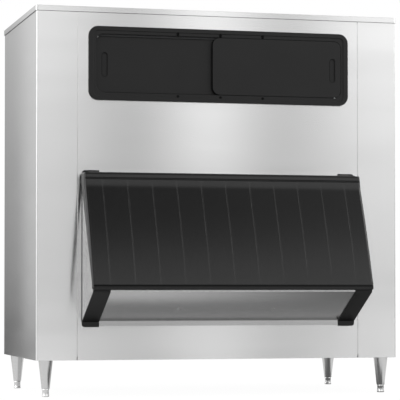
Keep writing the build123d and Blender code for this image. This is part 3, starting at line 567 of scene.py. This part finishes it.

# Hopper door: a smooth bowed skin over its front, hollowed below the barrel and crossed by
# shallow grooves where the door has its own, and a dark bar above its lip that paints the shade in
# the groove there. Places on its side outline are (ahead of the cabinet, up).

FRONT_FACE = -0.28825
SKIN_PROUD, SKIN_THICKNESS = 0.0006, 0.0011
SKIN_HALF_WIDTH, SKIN_TOP = 0.5705, 0.8716
BAND_END, BOW_MIDDLE, BOW_END = (0.08112, 0.84595), (0.16648, 0.64345), (0.23965, 0.43642)
BOW_FOOT = 0.4497
BAND_TILT = math.radians(12.6)
HOLLOW_RADIUS = 0.170
BOW_STEPS, HOLLOW_STEPS = 28, 12
GROOVES, GROOVE_PITCH, GROOVE_WIDTH, GROOVE_DEPTH = 11, 0.1016, 0.0030, 0.0004


def circle_through(first, second, third):
    """Centre and radius of the circle through three places."""
    (ax, ay), (bx, by), (cx, cy) = first, second, third
    twice = 2 * (ax * (by - cy) + bx * (cy - ay) + cx * (ay - by))
    a2, b2, c2 = ax * ax + ay * ay, bx * bx + by * by, cx * cx + cy * cy
    out = (a2 * (by - cy) + b2 * (cy - ay) + c2 * (ay - by)) / twice
    up = (a2 * (cx - bx) + b2 * (ax - cx) + c2 * (bx - ax)) / twice
    return (out, up), math.dist((out, up), first)


def hollow_beside(centre, radius):
    """Centre of the hollow that touches the bow's circle and the straight band above it."""
    out = BAND_END[0] + HOLLOW_RADIUS * math.cos(BAND_TILT)
    up = BAND_END[1] + HOLLOW_RADIUS * math.sin(BAND_TILT)
    along = (math.sin(BAND_TILT), -math.cos(BAND_TILT))
    gap = (out - centre[0], up - centre[1])
    half = gap[0] * along[0] + gap[1] * along[1]
    left = gap[0] ** 2 + gap[1] ** 2 - (radius + HOLLOW_RADIUS) ** 2
    slide = min((-half + sign * math.sqrt(half * half - left) for sign in (-1, 1)), key=abs)
    return out + slide * along[0], up + slide * along[1]


def spun_up(centre, steps, angle):
    """Turn the selected edge about a level axis, leaving faces behind it."""
    bpy.ops.mesh.spin(steps=steps, angle=angle, axis=(1, 0, 0),
                      center=(0, FRONT_FACE - centre[0], centre[1]))


def in_a_groove(face):
    """Whether a face of the skin lies in one of its grooves."""
    share = (face.center.x / GROOVE_PITCH) % 1
    return min(share, 1 - share) * GROOVE_PITCH < GROOVE_WIDTH / 2


bow_centre, bow_radius = circle_through(BAND_END, BOW_MIDDLE, BOW_END)
hollow_centre = hollow_beside(bow_centre, bow_radius)
foot_angle = math.asin((BOW_FOOT - bow_centre[1]) / bow_radius)
hollow_angle = math.asin((hollow_centre[1] - bow_centre[1]) / (bow_radius + HOLLOW_RADIUS))
foot_out = FRONT_FACE - bow_centre[0] - (bow_radius + SKIN_PROUD) * math.cos(foot_angle)
foot_up = bow_centre[1] + (bow_radius + SKIN_PROUD) * math.sin(foot_angle)

# a strip whose front edge stays as the skin's foot
STRIP_DEPTH = 0.01
strip_middle = foot_out + STRIP_DEPTH / 2
deselect_all()
bpy.ops.mesh.primitive_plane_add(size=1.0, location=(0, strip_middle, foot_up))
door_skin = bpy.context.object
door_skin.name = "door_skin"
door_skin.scale = (2 * SKIN_HALF_WIDTH, STRIP_DEPTH, 1)
bpy.ops.object.transform_apply(location=True, rotation=False, scale=True)
begin_edit()
choose(door_skin, "VERT", lambda point: point.co.y > strip_middle)
bpy.ops.mesh.delete(type="VERT")
bpy.ops.mesh.select_all(action="SELECT")
spun_up(bow_centre, BOW_STEPS, hollow_angle - foot_angle)
spun_up(hollow_centre, HOLLOW_STEPS, BAND_TILT - hollow_angle)
bpy.ops.object.mode_set(mode="OBJECT")
band_foot = max(point.co.z for point in door_skin.data.vertices)
bpy.ops.object.mode_set(mode="EDIT")
moved_faces((0, math.tan(BAND_TILT), 1), SKIN_TOP - band_foot)
bpy.ops.mesh.select_mode(type="FACE")
for groove in range(GROOVES):
    for side in (-1, 1):
        groove_edge = (groove - (GROOVES - 1) / 2) * GROOVE_PITCH + side * GROOVE_WIDTH / 2
        bpy.ops.mesh.select_all(action="SELECT")
        bpy.ops.mesh.bisect(plane_co=(groove_edge, 0, 0), plane_no=(1, 0, 0))
bpy.ops.mesh.select_all(action="SELECT")
bpy.ops.mesh.normals_make_consistent(inside=False)
bpy.ops.object.mode_set(mode="OBJECT")
if sum(face.normal.y for face in door_skin.data.polygons) > 0:
    begin_edit()
    bpy.ops.mesh.flip_normals()
    bpy.ops.object.mode_set(mode="OBJECT")
begin_edit()
choose(door_skin, "FACE", in_a_groove)
bpy.ops.mesh.extrude_region_shrink_fatten(TRANSFORM_OT_shrink_fatten={"value": -GROOVE_DEPTH})
bpy.ops.object.mode_set(mode="OBJECT")
wall = door_skin.modifiers.new("wall", "SOLIDIFY")
wall.thickness = SKIN_THICKNESS
wall.offset = -1
bpy.ops.object.modifier_apply(modifier=wall.name)
dress(close_up(door_skin, 20.0), "door_black", "hopper_door")

# a dark bar that paints the shade in the groove above the door's lip
LIP_HALF_LENGTH, LIP_HALF_DEPTH, LIP_HALF_HEIGHT, LIP_EDGE = 0.5760, 0.0009, 0.0036, 0.0006
LIP_PLACE = 0, -0.5248, 0.4465
LIP_SLOPE = math.atan2(0.315, 0.949)
lip_line = upright_bead("door_lip_painted_shade", (-LIP_HALF_LENGTH, -LIP_HALF_DEPTH, -LIP_HALF_HEIGHT),
                        (LIP_HALF_LENGTH, LIP_HALF_DEPTH, LIP_HALF_HEIGHT), LIP_EDGE)
deselect_all()
lip_line.select_set(True)
bpy.context.view_layer.objects.active = lip_line
lip_line.rotation_euler = (-LIP_SLOPE, 0, 0)
lip_line.location = LIP_PLACE
bpy.ops.object.transform_apply(location=True, rotation=True, scale=True)
dress(lip_line, "fastener_dark", "hopper_door")

# Back panel: a row of low screws down each side and along its top and bottom

back_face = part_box("back_panel")[1][1]
BACK_COLUMNS = -0.742, -0.371, 0.0, 0.371, 0.742
BACK_ROWS = 0.172, 0.440, 0.708, 0.976, 1.244, 1.530
BACK_HEAD_RADIUS, BACK_HEAD_HEIGHT = 0.0038, 0.0013
first_head = hexagon_bolt("back_panel_screw", (0, back_face, 0), BACK_HEAD_RADIUS,
                          BACK_HEAD_HEIGHT, (0, 1, 0))
back_heads = []
for across in BACK_COLUMNS:
    for up in BACK_ROWS:
        if across in (BACK_COLUMNS[0], BACK_COLUMNS[-1]) or up in (BACK_ROWS[0], BACK_ROWS[-1]):
            back_heads.append(copied(first_head, "back_panel_screw", (across, 0, up)))
deselect_all()
first_head.select_set(True)
bpy.ops.object.delete()
dress(joined(back_heads, "back_panel_screws"), "fastener_steel", "cabinet")

# Liner: a bead of sealant up each inner corner

LINER_CORNERS = ((-0.708, 1), (0.708, -1)), ((-0.23425, 1), (0.47075, -1))
LINER_BEAD, LINER_BEAD_EDGE = 0.004, 0.0018
LINER_BEAD_FOOT, LINER_BEAD_TOP = 0.366, 1.520
corner_beads = []
for across, inward in LINER_CORNERS[0]:
    for back, forward in LINER_CORNERS[1]:
        xs = sorted((across, across + inward * LINER_BEAD))
        ys = sorted((back, back + forward * LINER_BEAD))
        corner_beads.append(upright_bead("liner_bead", (xs[0], ys[0], LINER_BEAD_FOOT),
                                         (xs[1], ys[1], LINER_BEAD_TOP), LINER_BEAD_EDGE))
dress(joined(corner_beads, "liner_corner_beads"), "liner_white", "cabinet")

# A dab of dark sealant at the foot of each seam in the front

SEAMS = -0.5940, 0.5940
DAB_HALF_WIDTH, DAB_FRONT, DAB_BACK = 0.0012, -0.28855, -0.28815
DAB_FOOT, DAB_TOP, DAB_EDGE = 0.1474, 0.1620, 0.0001
dabs = [upright_bead("seam_sealant", (seam - DAB_HALF_WIDTH, DAB_FRONT, DAB_FOOT),
                     (seam + DAB_HALF_WIDTH, DAB_BACK, DAB_TOP), DAB_EDGE) for seam in SEAMS]
dress(joined(dabs, "seam_sealant"), "fastener_dark", "cabinet")

# A thin dark joint under the trim and down the back edge of each hopper cheek, part joint and part
# painted shadow of the gap there

JOINT_EDGE = 0.0003
TRIM_JOINT_HEIGHT, TRIM_JOINT_WIDTH, TRIM_JOINT_PROUD = 0.0010, 0.0022, 0.0008
CHEEK_JOINT_WIDTH, CHEEK_JOINT_DEPTH = 0.0016, 0.0024
PANEL_HALF_WIDTH, PANEL_BACK = 0.762, 0.52475
trim_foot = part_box("top_trim")[0][2]
trim_joint_painted_shadow = ring_round("trim_joint_painted_shadow",
                        (-PANEL_HALF_WIDTH - TRIM_JOINT_PROUD, FRONT_FACE - TRIM_JOINT_PROUD,
                         trim_foot - TRIM_JOINT_HEIGHT),
                        (PANEL_HALF_WIDTH + TRIM_JOINT_PROUD, PANEL_BACK + TRIM_JOINT_PROUD,
                         trim_foot), TRIM_JOINT_WIDTH, TRIM_JOINT_HEIGHT, JOINT_EDGE)
dress(trim_joint_painted_shadow, "black_moulding", "cabinet")
cheek_low, cheek_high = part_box("right_cheek")
joints = []
for side in (-1, 1):
    x0, x1 = sorted((side * cheek_high[0], side * cheek_high[0] + side * CHEEK_JOINT_WIDTH))
    joints.append(upright_bead("cheek_joint", (x0, FRONT_FACE - CHEEK_JOINT_DEPTH, cheek_low[2]),
                               (x1, FRONT_FACE, cheek_high[2]), JOINT_EDGE))
dress(joined(joints, "cheek_seams_painted_shadow"), "black_moulding", "cabinet")

# The studio: a pale floor, a wide soft world and the photograph's point of view

FLOOR_SIZE, FLOOR_DROP = 40.0, 0.0005
bpy.ops.mesh.primitive_plane_add(size=FLOOR_SIZE, location=(0, 0, -FLOOR_DROP))
floor = bpy.context.object
floor.name = "studio_floor"


def shade_of(tree, operation, first, second=None):
    """One Math node; each side is a number or another node's value."""
    node = tree.nodes.new("ShaderNodeMath")
    node.operation = operation
    for socket, value in zip(node.inputs, (first, second)):
        if value is None:
            continue
        if isinstance(value, (int, float)):
            socket.default_value = value
        else:
            tree.links.new(value, socket)
    return node.outputs[0]


def soft_step(tree, value, low, high, start, end):
    """A smooth change from low to high between two places."""
    node = tree.nodes.new("ShaderNodeMapRange")
    node.interpolation_type = "SMOOTHSTEP"
    node.inputs["From Min"].default_value = start
    node.inputs["From Max"].default_value = end
    node.inputs["To Min"].default_value = low
    node.inputs["To Max"].default_value = high
    tree.links.new(value, node.inputs["Value"])
    return node.outputs["Result"]


# Two soft dark flags, as (turn, reach to the left, reach to the right) in degrees to the right of
# straight ahead, with a lift in the light between them
FLAGS = (12.9, 1.9, 1.8), (17.25, 1.7, 2.2)
FLAG_SHADE = 0.42
BETWEEN_FLAGS, BETWEEN_REACH, BETWEEN_LIFT = 15.4, 1.7, 0.34

# What the floor shows to the camera, and the painted light and shade that metal mirrors from each
# part of it
FLOOR_PAINT, FLOOR_GLOW, FLOOR_GLOW_SHARE = 0.92, 1.03, 0.94
FLOOR_LIT = 0.5
# the painted glow of the floor far off, and the painted shade at the foot of each flag
FLOOR_FAR, PAINTED_FLAG_FOOT_SHADE = 0.11, 0.0
FLOOR_FAR_REACH = 1.6, 3.0
FLOOR_OPEN = 0.80
# painted shadows that metal mirrors: under the cabinet, deepening to the right, and darker under
# the hopper
FLOOR_UNDER = 0.54, 0.12
FLOOR_UNDER_TURN = -0.30, 0.72
HOPPER_SHADE = 0.13
CABINET_SHADE_BACK = -0.285, 0.52, 0.015
CABINET_SHADE_ACROSS = -0.72, 0.98, 0.05
HOPPER_SHADE_BACK = -0.62, -0.285, 0.03
HOPPER_SHADE_ACROSS = -0.55, 0.82, 0.05
MIRRORED_CAMERA = -2.0946, 7.3514


def flag_shade(tree, turn, shade=FLAG_SHADE):
    """How much light comes past the two flags at a turn from straight ahead."""
    light = None
    for flag_turn, left_reach, right_reach in FLAGS:
        away = shade_of(tree, "SUBTRACT", turn, flag_turn)
        left = soft_step(tree, shade_of(tree, "MULTIPLY", away, -1.0),
                         shade, 1.0, 0.0, left_reach)
        right = soft_step(tree, away, shade, 1.0, 0.0, right_reach)
        passed = shade_of(tree, "MAXIMUM", left, right)
        light = passed if light is None else shade_of(tree, "MULTIPLY", light, passed)
    aside = shade_of(tree, "ABSOLUTE", shade_of(tree, "SUBTRACT", turn, BETWEEN_FLAGS))
    lift = soft_step(tree, aside, 1.0 + BETWEEN_LIFT, 1.0, 0.0, BETWEEN_REACH)
    return shade_of(tree, "MULTIPLY", light, lift)


def turn_from(tree, across, back):
    """Degrees to the right of straight ahead of the front, from two level distances."""
    ahead_of = shade_of(tree, "MULTIPLY", back, -1.0)
    return shade_of(tree, "MULTIPLY", shade_of(tree, "ARCTAN2", across, ahead_of), 180 / math.pi)


def within(tree, value, low, high, soft):
    """One between two places and nothing outside them, with soft ends."""
    return shade_of(tree, "MULTIPLY", soft_step(tree, value, 0.0, 1.0, low - soft, low + soft),
                    soft_step(tree, value, 1.0, 0.0, high - soft, high + soft))


def blended(tree, share, first, second):
    """A number between two, each a number or another node's value."""
    node = tree.nodes.new("ShaderNodeMix")
    tree.links.new(share, node.inputs["Factor"])
    for socket, value in ((node.inputs["A"], first), (node.inputs["B"], second)):
        if isinstance(value, (int, float)):
            socket.default_value = value
        else:
            tree.links.new(value, socket)
    return node.outputs["Result"]


def paint_floor():
    """White to the camera with a faint shadow, grey paper to all that is lit by it; metal mirrors
    a painted glow from it, with painted shade at the flags' feet and painted shadow under the
    object."""
    paint = bpy.data.materials.new("studio_floor")
    paint.use_nodes = True
    tree = paint.node_tree
    tree.nodes.remove(tree.nodes["Principled BSDF"])
    output = tree.nodes["Material Output"]
    rays = tree.nodes.new("ShaderNodeLightPath")
    place = tree.nodes.new("ShaderNodeTexCoord")
    axes = tree.nodes.new("ShaderNodeSeparateXYZ")
    tree.links.new(place.outputs["Object"], axes.inputs["Vector"])
    # what the camera sees
    lit = tree.nodes.new("ShaderNodeBsdfDiffuse")
    lit.inputs["Color"].default_value = (FLOOR_PAINT, FLOOR_PAINT, FLOOR_PAINT, 1)
    glow = tree.nodes.new("ShaderNodeEmission")
    glow.inputs["Strength"].default_value = FLOOR_GLOW
    seen = tree.nodes.new("ShaderNodeMixShader")
    seen.inputs["Fac"].default_value = FLOOR_GLOW_SHARE
    tree.links.new(lit.outputs[0], seen.inputs[1])
    tree.links.new(glow.outputs[0], seen.inputs[2])
    # painted light and shade that metal mirrors, a glow that is no lamp: far off, grey crossed by
    #     the painted shade at each flag's foot; near by, pale with the painted shadow of the
    #     cabinet, which deepens to the right, and of the hopper
    across, back = axes.outputs[0], axes.outputs[1]
    turn = turn_from(tree, shade_of(tree, "SUBTRACT", across, MIRRORED_CAMERA[0]),
                     shade_of(tree, "SUBTRACT", back, MIRRORED_CAMERA[1]))
    far = shade_of(tree, "MULTIPLY", flag_shade(tree, turn, PAINTED_FLAG_FOOT_SHADE), FLOOR_FAR)
    under = soft_step(tree, across, *FLOOR_UNDER, *FLOOR_UNDER_TURN)
    painted_cabinet_shadow = shade_of(tree, "MULTIPLY", within(tree, back, *CABINET_SHADE_BACK),
                             within(tree, across, *CABINET_SHADE_ACROSS))
    painted_hopper_shadow = shade_of(tree, "MULTIPLY", within(tree, back, *HOPPER_SHADE_BACK),
                            within(tree, across, *HOPPER_SHADE_ACROSS))
    near = blended(tree, painted_cabinet_shadow, FLOOR_OPEN, under)
    near = blended(tree, painted_hopper_shadow, near, HOPPER_SHADE)
    reach = tree.nodes.new("ShaderNodeVectorMath")
    reach.operation = "LENGTH"
    tree.links.new(place.outputs["Object"], reach.inputs[0])
    # a painted glow that stands in for the lit and shaded floor in what metal mirrors
    painted_mirror_glow = tree.nodes.new("ShaderNodeEmission")
    farness = soft_step(tree, reach.outputs["Value"], 0.0, 1.0, *FLOOR_FAR_REACH)
    tree.links.new(blended(tree, farness, near, far), painted_mirror_glow.inputs["Strength"])
    # what the object is lit by
    paper = tree.nodes.new("ShaderNodeBsdfDiffuse")
    paper.inputs["Color"].default_value = (FLOOR_LIT, FLOOR_LIT, FLOOR_LIT, 1)
    unseen = tree.nodes.new("ShaderNodeMixShader")
    tree.links.new(rays.outputs["Is Glossy Ray"], unseen.inputs["Fac"])
    tree.links.new(paper.outputs[0], unseen.inputs[1])
    tree.links.new(painted_mirror_glow.outputs[0], unseen.inputs[2])
    whole = tree.nodes.new("ShaderNodeMixShader")
    tree.links.new(rays.outputs["Is Camera Ray"], whole.inputs["Fac"])
    tree.links.new(unseen.outputs[0], whole.inputs[1])
    tree.links.new(seen.outputs[0], whole.inputs[2])
    tree.links.new(whole.outputs[0], output.inputs["Surface"])
    return paint


floor.data.materials.append(paint_floor())

# How bright the sky is by its rise and turn in degrees, each with where it changes
SKY_LOW_HIGH, SKY_RISE = (0.61, 1.55), (-3.0, 14.0)
SKY_OVERHEAD, SKY_OVERHEAD_TURN, SKY_OVERHEAD_RISE = (0.22, 0.42), (22.0, 31.0), (36.0, 43.5)
FLAG_SPLAY, FLAG_SPLAY_RISE = 0.2, (22.0, 38.0)
SKY_BEHIND, SKY_BEHIND_BACK = 0.43, (0.3, 0.9)
SKY_AT_CAMERA, SKY_AT_CAMERA_TURN = 0.75, (-34.0, 0.0, 6.0)
SKY_LEFT, SKY_LEFT_TURN = 1.9, (-130.0, -55.0, 10.0)
SKY_FRONT, SKY_FRONT_TURN = (0.9, 1.04), (9.5, 22.0)
SKY_RIGHT, SKY_RIGHT_TURN = 0.8, (25.0, 36.0)


def paint_world():
    """White behind the object; round it a studio that is pale above, dim below and overhead,
    with two soft dark flags that the front panel mirrors."""
    world = bpy.data.worlds.new("studio")
    bpy.context.scene.world = world
    world.use_nodes = True
    tree = world.node_tree
    background = tree.nodes["Background"]
    background.inputs["Color"].default_value = (1, 1, 1, 1)
    rays = tree.nodes.new("ShaderNodeLightPath")
    place = tree.nodes.new("ShaderNodeTexCoord")
    axes = tree.nodes.new("ShaderNodeSeparateXYZ")
    tree.links.new(place.outputs["Generated"], axes.inputs["Vector"])
    across, back, up = axes.outputs
    turn = turn_from(tree, across, back)
    rise = shade_of(tree, "MULTIPLY", shade_of(tree, "ARCSINE", up), 180 / math.pi)
    level = soft_step(tree, rise, *SKY_LOW_HIGH, *SKY_RISE)
    dim = soft_step(tree, turn, *SKY_OVERHEAD, *SKY_OVERHEAD_TURN)
    overhead = blended(tree, soft_step(tree, rise, 0.0, 1.0, *SKY_OVERHEAD_RISE), 1.0, dim)
    # the flags stand a little apart at their tops
    splay = soft_step(tree, rise, 1.0, 1.0 - FLAG_SPLAY, *FLAG_SPLAY_RISE)
    light = shade_of(tree, "MULTIPLY", level, overhead)
    # the flags, the dim wall behind, a dim strip where the camera stands, a bright one on the
    # left for corners and legs, and a calmer side to the right of the flags
    for share in (
            flag_shade(tree, shade_of(tree, "MULTIPLY", turn, splay)),
            soft_step(tree, back, 1.0, SKY_BEHIND, *SKY_BEHIND_BACK),
            blended(tree, within(tree, turn, *SKY_AT_CAMERA_TURN), 1.0, SKY_AT_CAMERA),
            blended(tree, within(tree, turn, *SKY_LEFT_TURN), 1.0, SKY_LEFT),
            soft_step(tree, turn, *SKY_FRONT, *SKY_FRONT_TURN),
            soft_step(tree, turn, 1.0, SKY_RIGHT, *SKY_RIGHT_TURN)):
        light = shade_of(tree, "MULTIPLY", light, share)
    strength = tree.nodes.new("ShaderNodeMix")
    tree.links.new(rays.outputs["Is Camera Ray"], strength.inputs["Factor"])
    tree.links.new(light, strength.inputs["A"])
    strength.inputs["B"].default_value = 1.0
    tree.links.new(strength.outputs["Result"], background.inputs["Strength"])


paint_world()


def add_softbox(name, place, away, size, power):
    """An area lamp at a place, shining against the direction away from what it lights."""
    data = bpy.data.lights.new(name, "AREA")
    data.shape = "RECTANGLE"
    data.size, data.size_y = size
    data.energy = power
    lamp = bpy.data.objects.new(name, data)
    bpy.context.scene.collection.objects.link(lamp)
    lamp.location = place
    lamp.rotation_euler = away.to_track_quat("Z", "Y").to_euler()
    lamp.visible_camera = False


KEY_AIM, KEY_DISTANCE, KEY_SIZE, KEY_POWER = Vector((0, -0.3, 0.9)), 4.0, (1.5, 1.5), 30.0
KEY_TURN, KEY_RISE = math.radians(65.0), math.radians(30.0)
REAR_PLACE, REAR_SIZE, REAR_POWER = (-1.90, 2.0, 1.95), (1.6, 3.6), 5.2
key_away = Vector((math.sin(KEY_TURN) * math.cos(KEY_RISE),
                   -math.cos(KEY_TURN) * math.cos(KEY_RISE), math.sin(KEY_RISE)))
add_softbox("key_softbox", KEY_AIM + key_away * KEY_DISTANCE, key_away, KEY_SIZE, KEY_POWER)
add_softbox("rear_softbox", REAR_PLACE, Vector((0, 1, 0)), REAR_SIZE, REAR_POWER)

# The photograph's camera, as it was fitted to the object's edges
FOCAL_PIXELS, PICTURE_PIXELS, SENSOR = 1936.7, 400.0, 36.0
CAMERA_PLACE = -2.09464, -7.92785, 0.43497
CAMERA_SHIFT = 0.1
camera_data = bpy.data.cameras.new("photograph")
camera_data.sensor_width = SENSOR
camera_data.lens = FOCAL_PIXELS / PICTURE_PIXELS * SENSOR
camera_data.shift_y = CAMERA_SHIFT
camera_data.clip_end = 100.0
camera = bpy.data.objects.new("photograph", camera_data)
bpy.context.scene.collection.objects.link(camera)
yaw, pitch = math.radians(14.733), math.radians(1.434)
ahead = Vector((math.sin(yaw) * math.cos(pitch), math.cos(yaw) * math.cos(pitch), math.sin(pitch)))
camera.location = CAMERA_PLACE
camera.rotation_euler = ahead.to_track_quat("-Z", "Y").to_euler()
bpy.context.scene.camera = camera

bpy.context.scene.view_settings.view_transform = "Standard"
